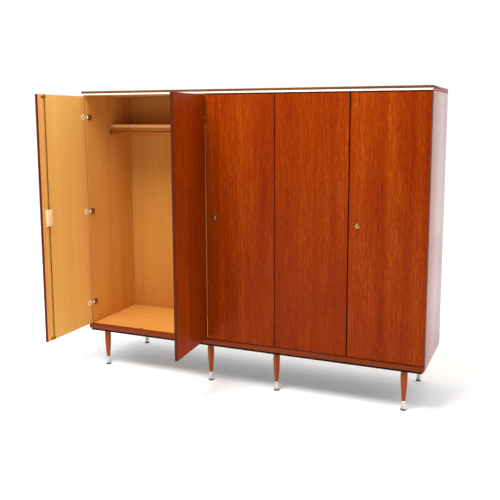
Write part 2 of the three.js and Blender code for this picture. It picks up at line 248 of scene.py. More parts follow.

# %% [markdown]
# ## Wood
# Every wooden board is veneered, and a veneer's pattern runs along the board. Each piece
# carries its own place: across the board, through it and along it, in metres from its middle.
# A turned or open door keeps its own axes, so one material fits every board. A second vector,
# the tree, moves each board to another part of the pattern, so that no two boards match. The
# third one is half the board's size, and gives the distance to the nearest edge, where each wood
# takes an edge tint. It is darker on most woods, and on the teak that is partly painted shade of
# the gaps between the doors; on the rail it is lighter, a painted highlight.

# %% Wood material
def wood(name, tints, ribbon, streak, satin, depth, **constants):
    """A veneer of four tints: dark, middle, light, and an edge tint, which is darker on most
    woods, partly painted shade on the teak, and lighter on the rail, a painted highlight. Its
    tone is 0.5 plus a cloud, a wide ribbon, a narrow streak, a short fleck and a fine fibre, each
    a noise stretched along the board less 0.5, times its strength. Pores are short dark dashes.
    The edge mask is 1 at an edge and falls to 0 in a few millimetres."""
    finish = Finish(name, **constants)
    dark, middle, light, edge_tint_and_highlight = (tint(*colour) for colour in tints)
    place = finish.attribute("place")
    tree = finish.node("ShaderNodeVectorMath", {"operation": "ADD"},
                       {0: place, 1: finish.attribute("tree")})
    cloud = finish.noise(tree, (1.0, 1.0, 0.25), 3.0)
    wide = finish.noise(tree, (1.0, 1.0, 0.02), 20.0, 2.0, 0.5)
    narrow = finish.noise(tree, (1.0, 1.0, 0.03), 140.0, 3.0, 0.6)
    fleck = finish.noise(tree, (1.0, 1.0, 0.2), 170.0, 2.0, 0.6)
    fibre = finish.noise(tree, (1.0, 1.0, 0.02), 800.0, 2.0, 0.6)
    pore = finish.rise(finish.noise(tree, (1.0, 1.0, 0.07), 1500.0, 1.0), 0.60, 0.72)
    tone = ((wide - 0.5) * ribbon + (narrow + fleck - 1.0) * streak
            + (fibre - 0.5) * streak * 0.8 + (cloud - 0.5) * ribbon + 0.5)
    colour = finish.mix(finish.rise(tone, 0.1, 0.55), dark, middle)
    colour = finish.mix(finish.rise(tone, 0.5, 0.95), colour, light)
    colour = finish.mix(pore * 0.45, colour, dark)
    gap = finish.node("ShaderNodeVectorMath", {"operation": "SUBTRACT"}, {
        0: finish.attribute("half_size"),
        1: finish.node("ShaderNodeVectorMath", {"operation": "ABSOLUTE"}, {0: place})})
    split = {axis: finish.node("ShaderNodeSeparateXYZ", {}, {0: gap}, axis) for axis in "XYZ"}
    least = split["X"].smaller(split["Y"])
    most = split["X"].larger(split["Y"])
    edge_gap = least.larger(most.smaller(split["Z"]))
    edge = 1.0 - finish.rise(edge_gap + (narrow - 0.5) * 0.004, 0.0003, 0.0035)
    # The edge tint: partly painted shade at the teak's edges, and a painted highlight on the
    # rail.
    colour = finish.mix(edge * 0.5, colour, edge_tint_and_highlight)
    roughness = (narrow - 0.5) * 0.16 + pore * 0.1 + edge * 0.12 + (cloud - 0.5) * 0.1 + satin
    height = (1.0 - pore) * 0.7 + fibre * 0.3
    return finish.surface(colour, roughness, height, depth)


RED_TEAK = ((114, 31, 0), (140, 47, 0), (168, 72, 8), (84, 24, 2))
teak = wood("teak", RED_TEAK, 0.6, 0.8, 0.34, 0.00012, Specular_IOR_Level=0.05)
honey = wood(
    "honey", ((204, 142, 62), (228, 172, 90), (240, 192, 114), (206, 146, 74)),
    0.5, 0.25, 0.45, 0.00008, Specular_IOR_Level=0.15)
# Inside the case the blond wood is darker than on the doors: the same honey, darkened as painted
# shade.
case_honey_painted_shade = wood(
    "case_honey_painted_shade", ((190, 126, 50), (216, 154, 74), (230, 176, 98), (196, 134, 64)),
    0.5, 0.25, 0.45, 0.00008, Specular_IOR_Level=0.12)
shaded_honey = wood(
    "shaded_honey", ((186, 120, 48), (208, 146, 68), (222, 166, 90), (194, 130, 58)),
    0.5, 0.25, 0.5, 0.00008, Specular_IOR_Level=0.1)
lipping = wood(
    "lipping", ((206, 136, 64), (234, 162, 88), (244, 184, 116), (214, 146, 80)),
    0.4, 0.3, 0.45, 0.00008, Specular_IOR_Level=0.2)
# The shelves' lipping is honey drawn paler, painted light where the light falls on their front
# edges.
shelf_lipping_painted_light = wood(
    "shelf_lipping_painted_light", ((232, 176, 108), (250, 204, 138), (255, 220, 160), (240, 190, 124)),
    0.4, 0.3, 0.45, 0.00008, Specular_IOR_Level=0.2)
side_teak = wood("side_teak", RED_TEAK, 0.6, 0.8, 0.24, 0.00005, Specular_IOR_Level=0.5,
                 Coat_Weight=0.2, Coat_Roughness=0.2)
# The doors' long edges are a darker teak: partly their own wood, partly painted shade of the gaps
# between the doors.
dark_teak_and_gap_shade = wood(
    "dark_teak_and_gap_shade", ((62, 18, 4), (92, 30, 8), (116, 46, 16), (60, 22, 8)),
    0.5, 0.4, 0.34, 0.0001, Specular_IOR_Level=0.1)
# On the rail the edge tint is lighter than the wood: a painted highlight along its rounded top
# edge.
rail_teak_painted_highlight = wood(
    "rail_teak_painted_highlight", ((92, 30, 4), (130, 50, 10), (156, 70, 22), (196, 106, 54)),
    0.5, 0.4, 0.34, 0.0001, Specular_IOR_Level=0.12)
turned_teak = wood(
    "turned_teak", ((112, 42, 4), (160, 72, 16), (190, 102, 40), (160, 72, 16)),
    0.5, 0.4, 0.3, 0.0001, Specular_IOR_Level=0.15)
dull_teak = wood(
    "dull_teak", ((78, 40, 14), (112, 66, 34), (136, 88, 54), (92, 52, 26)),
    0.5, 0.4, 0.4, 0.0001, Specular_IOR_Level=0.3)
print("woods:", teak.name, side_teak.name, honey.name, case_honey_painted_shade.name, "and others")

# %% [markdown]
# ## Metal, plastic and paint
# The small fittings are plated or lacquered metal. Plating is never evenly bright: it has
# fine scratches and cloudy patches of tarnish, and dirt stays in pits. The pale strip under
# the top, the lock cases and the black band are smooth coats with faint unevenness. Their
# patterns use the piece's own coordinates, because they have no grain to follow.

# %% Metal and plastic materials
def fitting(name, clean, tarnish, satin, patchy, depth, **constants):
    """A plated or moulded finish. Patches are soft noise, scratches are noise stretched
    along one line, and specks are the peaks of a fine noise. Tint goes from clean to tarnish
    by the patches and the specks; roughness is satin plus shares of all three."""
    finish = Finish(name, **constants)
    clean, tarnish = tint(*clean), tint(*tarnish)
    place = finish.node("ShaderNodeTexCoord", output="Object")
    patches = finish.rise(finish.noise(place, (1.0, 1.0, 1.0), 60.0, 4.0, 0.6), 0.40, 0.75)
    scratches = finish.noise(place, (1.0, 1.0, 0.06), 2200.0, 2.0, 0.5)
    specks = finish.rise(finish.noise(place, (1.0, 1.0, 1.0), 900.0, 2.0), 0.66, 0.74)
    colour = finish.mix((patches * patchy + specks * 0.3).smaller(1.0), clean, tarnish)
    roughness = (scratches - 0.5) * 0.15 + patches * patchy * 0.25 + specks * 0.1 + satin
    height = scratches * 0.5 + (1.0 - specks) * 0.5
    return finish.surface(colour, roughness, height, depth)


nickel = fitting("nickel", (222, 214, 202), (128, 114, 94), 0.24, 0.6, 0.00004,
                 Metallic=0.85)
# Near-white plate draws the hinge discs and arm noses: a painted shine on the nickel.
plate_painted_shine = fitting("plate_painted_shine", (255, 250, 240), (226, 212, 190), 0.32, 0.3, 0.00003,
                       Metallic=0.25)
# Bronze also draws the hinge arms, as painted shade on plated metal.
bronze = fitting("bronze", (150, 102, 40), (86, 52, 18), 0.4, 0.6, 0.00005, Metallic=0.7)
brass = fitting("brass", (214, 166, 98), (130, 88, 44), 0.3, 0.55, 0.00004, Metallic=1.0)
copper = fitting("warm_tube", (206, 148, 88), (150, 96, 48), 0.28, 0.4, 0.00003,
                 Metallic=0.9)
# Dark steel also draws the painted shadow ring round the lock roses.
steel_and_painted_shadow = fitting("dark_steel_and_painted_shadow", (44, 30, 22), (26, 16, 10), 0.5, 0.6, 0.00005, Metallic=0.4)
pale = fitting("pale_strip", (255, 240, 222), (244, 220, 190), 0.42, 0.3, 0.00002)
ivory = fitting("ivory", (244, 216, 168), (216, 180, 124), 0.36, 0.4, 0.00003)
# Black paint also draws the painted shade of the key slot on door 3.
black = fitting("black_paint_and_keyhole_shade", (14, 4, 2), (30, 12, 8), 0.6, 0.4, 0.00004,
                Specular_IOR_Level=0.1)
plug_wood = fitting("plug_brown", (150, 84, 34), (104, 54, 20), 0.5, 0.6, 0.00004)
print("fittings:", nickel.name, bronze.name, brass.name, steel_and_painted_shadow.name)

# %% [markdown]
# ## Shapes as surfaces
# Every shape here is a grid of points: two numbers say where a point lies on the surface, and
# a formula turns them into x, y and z. A board is a small ball whose eight parts have been
# pulled apart to the board's corners, so all its edges are rounded. A turned piece is an
# outline carried round a line. A plate is an outline carried through its thickness. The grids
# are computed as whole arrays, and points that fall together are welded afterwards.

# %% Surface helpers
WELD = 1e-6


def grid_faces(rows, columns):
    """Quads between neighbouring rows of points, where the last column joins the first."""
    along = np.arange(columns)
    row = np.arange(rows - 1)[:, None] * columns
    here, there = row + along, row + (along + 1) % columns
    return np.stack([here, there, there + columns, here + columns], -1).reshape(-1, 4).tolist()


def rounded_board(low, high, radius, steps=3):
    """A board with rounded edges: a point is a corner's centre plus radius times a direction.
    The direction goes round by u and up by v in quarter turns, and each quarter of u and half
    of v has its own corner, at the board's middle plus or minus half its size less radius."""
    quarter = np.linspace(0.0, math.pi / 2, steps + 1)
    u = np.concatenate([quarter + k * math.pi / 2 for k in range(4)])[None, :]
    v = np.concatenate([quarter - math.pi / 2, quarter])[:, None]
    direction = np.stack(np.broadcast_arrays(
        np.cos(v) * np.cos(u), np.cos(v) * np.sin(u), np.sin(v)), -1)
    side = np.stack(np.broadcast_arrays(
        np.repeat([1.0, -1.0, -1.0, 1.0], steps + 1)[None, :],
        np.repeat([1.0, 1.0, -1.0, -1.0], steps + 1)[None, :],
        np.repeat([-1.0, 1.0], steps + 1)[:, None]), -1)
    low, high = np.array(low, float), np.array(high, float)
    points = (low + high) / 2 + side * ((high - low) / 2 - radius) + radius * direction
    rows, columns = points.shape[:2]
    corners = np.arange(4) * (steps + 1)
    ends = [corners[::-1].tolist(), (corners + (rows - 1) * columns).tolist()]
    return points.reshape(-1, 3), grid_faces(rows, columns) + ends


AXES = {"x": (1, 2, 0), "y": (2, 0, 1), "z": (0, 1, 2)}


def on_axis(first, second, along, axis):
    """Puts two cross coordinates and one along an axis into x, y, z order."""
    points = np.stack(np.broadcast_arrays(first, second, along), -1)
    return points[..., np.argsort(AXES[axis])]


def turned(outline, axis, centre, sides=40):
    """A turned piece. Outline gives radius and distance in millimetres. At angle t a point is
    the centre plus radius times cos t and sin t across the axis, plus distance along it."""
    radius, distance = np.array(outline, float).T[..., None] * MM
    t = np.linspace(0.0, 2 * math.pi, sides, endpoint=False)[None, :]
    points = on_axis(radius * np.cos(t), radius * np.sin(t), distance, axis)
    points = points + np.array(centre, float)
    rows, columns = points.shape[:2]
    return points.reshape(-1, 3), grid_faces(rows, columns)


def plate(outline, low, high, bevel, axis, centre):
    """A plate. Its closed outline, in millimetres across the axis, is carried from low to
    high, and drawn in by the bevel at both ends along each point's own outward normal."""
    ring = np.array(outline, float)
    run = np.roll(ring, -1, 0) - np.roll(ring, 1, 0)
    normal = np.stack([run[:, 1], -run[:, 0]], -1)
    normal /= np.linalg.norm(normal, axis=1, keepdims=True)
    inset = np.array([bevel, 0.0, 0.0, bevel])[:, None, None]
    level = np.array([low, low + bevel, high - bevel, high])[:, None] * MM
    flat = (ring[None] - normal[None] * inset) * MM
    points = on_axis(flat[..., 0], flat[..., 1], level, axis) + np.array(centre, float)
    rows, columns = points.shape[:2]
    ends = [list(range(columns))[::-1], list(range((rows - 1) * columns, rows * columns))]
    return points.reshape(-1, 3), grid_faces(rows, columns) + ends


def curve_through(points, spans=5):
    """A smooth line through points. Between two of them it is the Catmull-Rom cubic, which
    leaves each point in the direction from the point before it to the point after it."""
    ends = np.array(points, float)
    padded = np.vstack([2 * ends[0] - ends[1], ends, 2 * ends[-1] - ends[-2]])
    before, here, there, after = padded[:-3], padded[1:-2], padded[2:-1], padded[3:]
    t = np.linspace(0.0, 1.0, spans, endpoint=False)[None, :, None]
    before, here, there, after = (p[:, None, :] for p in (before, here, there, after))
    line = 0.5 * (2 * here + (there - before) * t
                  + (2 * before - 5 * here + 4 * there - after) * t ** 2
                  + (3 * here - before - 3 * there + after) * t ** 3)
    return np.vstack([line.reshape(-1, 2), ends[-1]])


def arc(centre, radius, start, stop, count=9):
    """Points on a circle: the centre plus radius times cos and sin of angles in degrees."""
    t = np.radians(np.linspace(start, stop, count))
    return np.stack([centre[0] + radius * np.cos(t), centre[1] + radius * np.sin(t)], -1)


def together(*shapes):
    """Several shapes as one: the points in a row, the faces counted on from those before."""
    counts = np.cumsum([0] + [len(points) for points, faces in shapes])
    faces = [[int(index) + int(first) for index in face]
             for first, (points, own) in zip(counts, shapes) for face in own]
    return np.concatenate([points for points, faces in shapes]), faces


print("a plain board has", len(rounded_board((0, 0, 0), (1, 1, 1), 0.1)[1]), "faces")

# %% [markdown]
# ## From shape to piece
# One function turns a shape into a piece. It welds the grid, turns all faces outwards, keeps
# the big flat faces flat and the rounded edges smooth, and writes the three grain vectors. A
# piece on a door is built as if the door were shut, because the sums are plain there, and is
# then turned about the door's hinge line to where the door stands at rest.

# %% Doors and pieces
FLAT = 0.9999


def mesh_points(mesh):
    """All points of a mesh, one row each."""
    points = np.empty(len(mesh.vertices) * 3, np.float32)
    mesh.vertices.foreach_get("co", points)
    return points.reshape(-1, 3)


class Leaf:
    """A door: its body, its hinge line, and its panel's box when shut."""

    def __init__(self, number):
        joint = joints[f"door_{number}_swing"]
        self.number = number
        self.body = joint["child"]
        self.pivot = np.array(joint["pos_m"])
        self.angle = -math.radians(joint["range_deg"][0]) * joint["axis"][2]
        self.low, self.high = self.shut_box(f"door_{number}_panel")
        self.hinge_left = joint["axis"][2] < 0

    def turned_by(self, points, angle):
        """Points turned about the hinge line: x and y from the line are mixed by cos and sin
        of the angle."""
        c, s = math.cos(angle), math.sin(angle)
        spin = np.array([[c, -s, 0.0], [s, c, 0.0], [0.0, 0.0, 1.0]])
        return (points - self.pivot) @ spin.T + self.pivot

    def shut_box(self, node):
        """The lowest and highest corner that a node of this door has when it is shut."""
        shut = self.turned_by(mesh_points(frame["nodes"][node].data), -self.angle)
        return shut.min(0), shut.max(0)


def make_piece(name, shape, material, grain="z", leaf=None, replaces=(), crease=38.0,
               body=None):
    """Welds a shape, writes its grain vectors, opens it with its door and hangs it on a body,
    which is the door's or else the carcass unless another is named."""
    mesh = bpy.data.meshes.new(name)
    mesh.from_pydata(shape[0].tolist(), [], shape[1])
    work = bmesh.new()
    work.from_mesh(mesh)
    bmesh.ops.remove_doubles(work, verts=work.verts, dist=WELD)
    bmesh.ops.recalc_face_normals(work, faces=work.faces)
    work.to_mesh(mesh)
    work.free()
    normals = np.empty(len(mesh.polygons) * 3, np.float32)
    mesh.polygons.foreach_get("normal", normals)
    smooth = np.abs(normals.reshape(-1, 3)).max(1) < FLAT
    mesh.polygons.foreach_set("use_smooth", smooth)
    mesh.set_sharp_from_angle(angle=math.radians(crease))
    points = mesh_points(mesh)
    low, high = points.min(0), points.max(0)
    order = list(AXES[grain])
    tree = np.random.default_rng(sum(name.encode())).uniform(-40.0, 40.0, 3)
    vectors = {
        "place": (points - (low + high) / 2)[:, order],
        "half_size": np.tile(((high - low) / 2)[order], (len(points), 1)),
        "tree": np.tile(tree, (len(points), 1)),
    }
    for title, values in vectors.items():
        layer = mesh.attributes.new(title, "FLOAT_VECTOR", "POINT")
        layer.data.foreach_set("vector", values.astype(np.float32).ravel())
    if leaf:
        points = leaf.turned_by(points, leaf.angle)
        mesh.vertices.foreach_set("co", points.astype(np.float32).ravel())
    mesh.materials.append(material)
    mesh.update()
    made = bpy.data.objects.new(name, mesh)
    scene.collection.objects.link(made)
    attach(made, body or (leaf.body if leaf else "carcass"))
    if replaces:
        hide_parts(*replaces)
    return made


corner = np.array(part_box("top_board")[0])
corner[2] = 0.0


def spot(x, y, z):
    """A place from three millimetre measures: along the front from the case's left end, back
    from the door fronts, and up from the floor."""
    return corner + np.array([x, y, z]) * MM


def node_box(name):
    """The lowest and highest corner of a node, as arrays."""
    return tuple(np.array(point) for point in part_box(name))


leaves = {number: Leaf(number) for number in range(1, 6)}
for leaf in leaves.values():
    print(leaf.body, "is", np.round((leaf.high - leaf.low) / MM, 1), "mm and stands open",
          round(abs(math.degrees(leaf.angle))), "degrees")

# %% [markdown]
# ## The case
# The case is made of veneered boards. The outside and the edges are teak, and the inside is a
# blond wood, drawn darker than the doors' inner faces as painted shade inside the case. A real
# board has its veneer on each face, so a board of two woods is made as a core with a thin sheet
# on its inner face. The core is thinner by the sheet, so the two together still fill the frame's
# box, and they overlap by a tenth of a millimetre.

# %% Outer boards with blond inner faces
SHEET = 0.6 * MM
OVERLAP = 0.1 * MM
EDGE_ROUND = 1.2 * MM
LIPPING = 3.0 * MM
BACK_REBATE = 26 * MM
SHEET_FOOT = 35 * MM


def side_panel(name, inner, edge_wood):
    """A lipping down the front edge. Behind it, a teak core less the sheet's thickness
    on its inner side, and a honey sheet there that stops at the floor board and at the back."""
    low, high = node_box(name)
    make_piece(name + "_lipping",
               rounded_board(low, (high[0], low[1] + LIPPING, high[2]), 0.8 * MM),
               edge_wood)
    low[1] += LIPPING - OVERLAP
    core_low, core_high = low.copy(), high.copy()
    sheet_low = low + [0.0, 0.0, SHEET_FOOT]
    sheet_high = high - [0.0, BACK_REBATE, 0.0]
    if inner > 0:
        core_high[0] -= SHEET
        sheet_low[0] = core_high[0] - OVERLAP
    else:
        core_low[0] += SHEET
        sheet_high[0] = core_low[0] + OVERLAP
    make_piece(name + "_veneered", rounded_board(core_low, core_high, EDGE_ROUND),
               side_teak, replaces=[name])
    make_piece(name + "_inner_face", rounded_board(sheet_low, sheet_high, 0.2 * MM, 1),
               case_honey_painted_shade)


side_panel("left_side_panel", 1, shaded_honey)
side_panel("right_side_panel", -1, side_teak)
panel_low, panel_high = node_box("left_side_panel")
print("side panels are", np.round((panel_high - panel_low) / MM, 1), "mm")

# %% [markdown]
# The top board has a rebate under its front edge, and a pale strip sits in it. A rebate is a
# step, so this board is its end outline carried along the front instead of a rounded block.
# The rail under the doors is made the same way: a big round on its upper front corner catches
# the light, and a lighter tint on all its edges paints a highlight there as a bright line. A
# smaller round below throws a soft shadow on the black band.

# %% Top board, strip and front rail
def section(low, high, rounds, extra=()):
    """A closed outline of a board's end, from its four corners' rounds in millimetres: low
    front, low back, high back, high front. Each corner is a quarter circle. Extra points come
    last and cut the low front corner away."""
    (y0, z0), (y1, z1) = low, high
    parts = [
        arc((y1 - rounds[1], z0 + rounds[1]), rounds[1], 270, 360),
        arc((y1 - rounds[2], z1 - rounds[2]), rounds[2], 0, 90),
        arc((y0 + rounds[3], z1 - rounds[3]), rounds[3], 90, 180),
        extra or arc((y0 + rounds[0], z0 + rounds[0]), rounds[0], 180, 270),
    ]
    return np.concatenate(parts)


top_low, top_high = node_box("top_board")
strip_low, strip_high = node_box("top_front_strip")
width = (top_high[0] - top_low[0]) / MM
depth = (top_high[1] - top_low[1]) / MM
underside, top_face = top_low[2] / MM, top_high[2] / MM
step_back = (strip_high[1] - top_low[1]) / MM + 0.3
step_up = strip_high[2] / MM + 0.3
EDGE_STRIP = 3.0
BOARD = 22.0
top_end = section((EDGE_STRIP - 0.1, underside + SHEET / MM), (depth, top_face),
                  (0, 1.2, 1.6, 0.4), ((EDGE_STRIP - 0.1, step_up), (step_back, step_up),
                                       (step_back, underside + SHEET / MM)))
make_piece("top_board_veneered", plate(top_end, 0.0, width, 1.0, "x", corner),
           teak, "x", replaces=["top_board"], crease=50)
make_piece("top_board_front_edge",
           rounded_board(spot(0, 0, step_up), spot(width, EDGE_STRIP, top_face), 1.2 * MM),
           dull_teak, "x")
make_piece("top_board_inner_face",
           rounded_board(spot(BOARD, step_back, underside),
                         spot(width - BOARD, depth - BACK_REBATE / MM, underside)
                         + [0, 0, SHEET + OVERLAP],
                         0.2 * MM, 1), case_honey_painted_shade, "x")
make_piece("pale_front_strip", rounded_board(strip_low, strip_high, 0.8 * MM),
           pale, "x", replaces=["top_front_strip"])

rail_low, rail_high = node_box("bottom_front_rail")
rail_end = section((0.0, rail_low[2] / MM), ((rail_high[1] - rail_low[1]) / MM,
                   rail_high[2] / MM), (5.0, 0.6, 0.6, 9.0))
make_piece("front_rail", plate(rail_end, 0.0, width, 1.0, "x", corner),
           rail_teak_painted_highlight, "x", replaces=["bottom_front_rail"], crease=50)
make_piece("black_base_band", rounded_board(*node_box("base_band"), 0.8 * MM),
           black, "x", replaces=["base_band"])
make_piece("floor_board", rounded_board(*node_box("bottom_board"), 0.6 * MM),
           case_honey_painted_shade, "x", replaces=["bottom_board"])
print("top board is", round(width), "by", round(depth), "mm")

# %% [markdown]
# ## Inside
# Dividers and shelves are blond boards whose front edges carry a strip of solid wood, the
# lipping, because the edge of a veneered board would show its layers. A shelf's lipping is drawn
# paler than the board behind it, painted light where the light falls on its edge, which is what
# makes a shelf's edge stand out.

# %% Lipped boards and back panels
def lipped_board(name, grain, edge_wood):
    """A honey board whose first three millimetres from the front are a separate lipping."""
    low, high = node_box(name)
    front_high = np.array([high[0], low[1] + LIPPING, high[2]])
    board_low = np.array([low[0], low[1] + LIPPING - OVERLAP, low[2]])
    make_piece(name + "_lipping", rounded_board(low, front_high, 0.8 * MM),
               edge_wood, grain)
    make_piece(name + "_board", rounded_board(board_low, high, 0.5 * MM),
               case_honey_painted_shade, grain, replaces=[name])


for upright in ("left_divider", "right_divider"):
    lipped_board(upright, "z", teak)
for shelf in ("hat_shelf_left", "hat_shelf_right", "linen_shelf_1", "linen_shelf_2",
              "linen_shelf_3"):
    lipped_board(shelf, "x", shelf_lipping_painted_light)
for side in ("left", "centre", "right"):
    node = f"back_panel_{side}"
    make_piece(node + "_sheet", rounded_board(*node_box(node), 0.8 * MM),
               case_honey_painted_shade, "z", replaces=[node])
print("lipped boards made")

# %% [markdown]
# ## Legs
# The legs are turned on a lathe: thickest a hand's breadth below the case, then tapering to a
# nickel ferrule that flares at the floor, where it ends in a dark ring. A lathe shape is an
# outline carried round its middle line. The outline here is a smooth curve through a few
# radii, so that the leg has no facets, and a thin groove is turned just above the ferrule.

# %% Turned legs and ferrules
LEG_BULGE = [(13.2, 85), (16.2, 120), (18.9, 155), (20.5, 190), (20.2, 212), (18.4, 229),
             (17.0, 237.2)]
FERRULE_WALL = [(16.9, 7.4), (15.2, 11), (13.4, 22), (12.6, 38), (12.3, 53.6)]
leg_outline = np.vstack([
    [(0, 21), (7.8, 21), (7.8, 57.4), (10.2, 57.6), (10.2, 60.4), (11.6, 61.4)],
    curve_through(LEG_BULGE), [(16.4, 237.7), (0, 237.7)]])
ferrule_outline = np.vstack([
    [(0, 7.0), (16.7, 7.0)], curve_through(FERRULE_WALL),
    [(12.6, 54.2), (12.6, 56.4), (12.1, 57.0), (8.6, 57.0), (8.2, 56.0), (8.2, 19.6), (0, 19.6)]])
ring_outline = np.array([(0, 0.2), (15.8, 0.2), (16.8, 0.9), (17.7, 2.0), (18.0, 4.6),
                         (17.4, 6.4), (16.4, 7.1), (0, 7.1)])
feet = {}
for place in ("front_1", "front_2", "front_3", "front_4", "rear_1", "rear_2"):
    foot = sum(node_box(f"leg_{place}")) / 2 * [1, 1, 0]
    feet[place] = foot
    make_piece(f"turned_leg_{place}", turned(leg_outline, "z", foot), turned_teak,
               replaces=[f"leg_{place}"])
    make_piece(f"nickel_ferrule_{place}", turned(ferrule_outline, "z", foot), nickel,
               replaces=[f"ferrule_{place}"])
    make_piece(f"foot_ring_{place}", turned(ring_outline, "z", foot), steel_and_painted_shadow)
print("a leg's outline has", len(leg_outline), "points")

# %% [markdown]
# ## Door leaves
# Each leaf is teak outside, with darker teak on its long edges, partly their own wood and partly
# painted shade for the gaps between the doors, and blond inside. There a strip of solid blond
# wood runs down both long sides, where the hinges and the lock are screwed on.
# The leaf is a core and thin sheets, built shut and turned open with its door.

# %% Door leaves
STILE = 25 * MM
RIM = 0.6 * MM
for number, leaf in leaves.items():
    panel = f"door_{number}_panel"
    core_low = leaf.low + [SHEET, 0.0, 0.0]
    core_high = leaf.high - [SHEET, SHEET, 0.0]
    make_piece(f"door_{number}_leaf", rounded_board(core_low, core_high, EDGE_ROUND),
               teak, "z", leaf, [panel])
    sides = [rounded_board((a, leaf.low[1], leaf.low[2]), (b, leaf.high[1], leaf.high[2]),
                           0.3 * MM, 1)
             for a, b in ((leaf.low[0], core_low[0] + OVERLAP),
                          (core_high[0] - OVERLAP, leaf.high[0]))]
    # These dark edges are partly painted shade of the gaps between the doors.
    make_piece(f"door_{number}_side_edges", together(*sides), dark_teak_and_gap_shade, "z", leaf)
    inner = core_high[1] - OVERLAP
    x0, x1 = leaf.low[0] + RIM, leaf.high[0] - RIM
    z0, z1 = leaf.low[2] + RIM, leaf.high[2] - RIM
    strips = [rounded_board((a, inner, z0), (b, leaf.high[1], z1), 0.2 * MM, 1)
              for a, b in ((x0, x0 + STILE), (x1 - STILE, x1))]
    make_piece(f"door_{number}_inner_edges", together(*strips), lipping, "z", leaf)
    make_piece(f"door_{number}_inner_face",
               rounded_board((x0 + STILE, inner, z0), (x1 - STILE, leaf.high[1] - 0.02 * MM, z1),
                             0.2 * MM, 1), honey, "z", leaf)
print("door leaves made:", len(leaves))

# %% [markdown]
# ## Hinges
# A cup hinge has two halves. On the door a nickel disc with a screw in its middle covers the
# cup, and a small plate runs from it to the door's edge; both are drawn near white, a painted
# shine. On the upright a plated arm holds the door; it is drawn in dark bronze as painted shade,
# and its front end near white as a painted highlight. Three of them carry each leaf. A disc is a
# turned piece, and the arm and the plate are outlines carried through their thickness.

# %% Cup hinges
CUP_INSET = 21.0
HINGE_HEIGHTS = {place: sum(p[2] for p in node_box(f"hinge_cup_{place}")) / 2 / MM
                 for place in ("bottom", "middle", "top")}
ARM_GAP = 0.3


def rounded_outline(low, high, rounds, count=6):
    """A rectangle's outline with quarter circles at its corners, anticlockwise from low."""
    (a0, b0), (a1, b1), r = low, high, rounds
    return np.concatenate([
        arc((a0 + r, b0 + r), r, 180, 270, count), arc((a1 - r, b0 + r), r, 270, 360, count),
        arc((a1 - r, b1 - r), r, 0, 90, count), arc((a0 + r, b1 - r), r, 90, 180, count)])


def screw_head(radius, height, axis, centre, facing=1):
    """A low domed screw head with a dimple: an outline turned about the axis."""
    outline = [(0, 0), (radius, 0), (radius, 0.3 * height), (0.75 * radius, 0.85 * height),
               (0.4 * radius, height), (0.3 * radius, 0.5 * height), (0, 0.4 * height)]
    return turned([(r, d * facing) for r, d in outline], axis, centre, 16)


def cup_line(leaf):
    """How far along the front a shut door's cups are: in from its hinged edge by the inset."""
    return (leaf.low[0] + CUP_INSET * MM if leaf.hinge_left
            else leaf.high[0] - CUP_INSET * MM)


def cup_shape(leaf, z):
    """The disc and its short plate to the door's edge, both on the inner face."""
    face = leaf.high[1]
    inward = 1 if leaf.hinge_left else -1
    middle = np.array([cup_line(leaf), face, z * MM])
    disc = [(0, -10.8), (14.4, -10.8), (14.4, 0), (17.4, 0), (17.4, 0.7), (16.9, 1.2),
            (14.2, 1.25), (13.6, 0.7), (12.4, 0.7), (11.6, 1.2), (5.2, 1.25), (4.8, 0.5),
            (0, 0.5)]
    near, far = sorted((-inward * (CUP_INSET - 1.0), -inward * 12.0))
    wing = rounded_outline((-9.0, near), (9.0, far), 2.0)
    return together(turned(disc, "y", middle, 48),
                    plate(wing, 0.0, 1.0, 0.3, "y", middle))


def arm_shape(side_x, inward, z):
    """The arm on an upright: a rounded plate with a raised spine and two screws."""
    base = spot(side_x, 0, z) + [inward * ARM_GAP * MM, 0, 0]
    foot = rounded_outline((22.0, -17.0), (66.0, 17.0), 9.0)
    spine = rounded_outline((22.6, -7.5), (62.0, 7.5), 4.0)
    levels = [sorted((inward * a, inward * b)) for a, b in ((0.0, 3.4), (3.0, 9.8))]
    screws = [screw_head(3.6, 1.2, "x", base + [inward * 3.3 * MM, 0.052, s * 0.0125], inward)
              for s in (-1, 1)]
    return together(plate(foot, *levels[0], 0.6, "x", base),
                    plate(spine, *levels[1], 1.2, "x", base), *screws)


def nose_shape(side_x, inward, z):
    """The front end of an arm, which reaches over the upright's front edge; its near-white finish
    is a painted highlight.
    """
    base = spot(side_x, 0, z) + [inward * ARM_GAP * MM, 0, 0]
    tip = rounded_outline((19.8, -8.6), (25.0, 8.6), 1.6)
    return plate(tip, *sorted((inward * 0.2, inward * 8.6)), 0.8, "x", base)


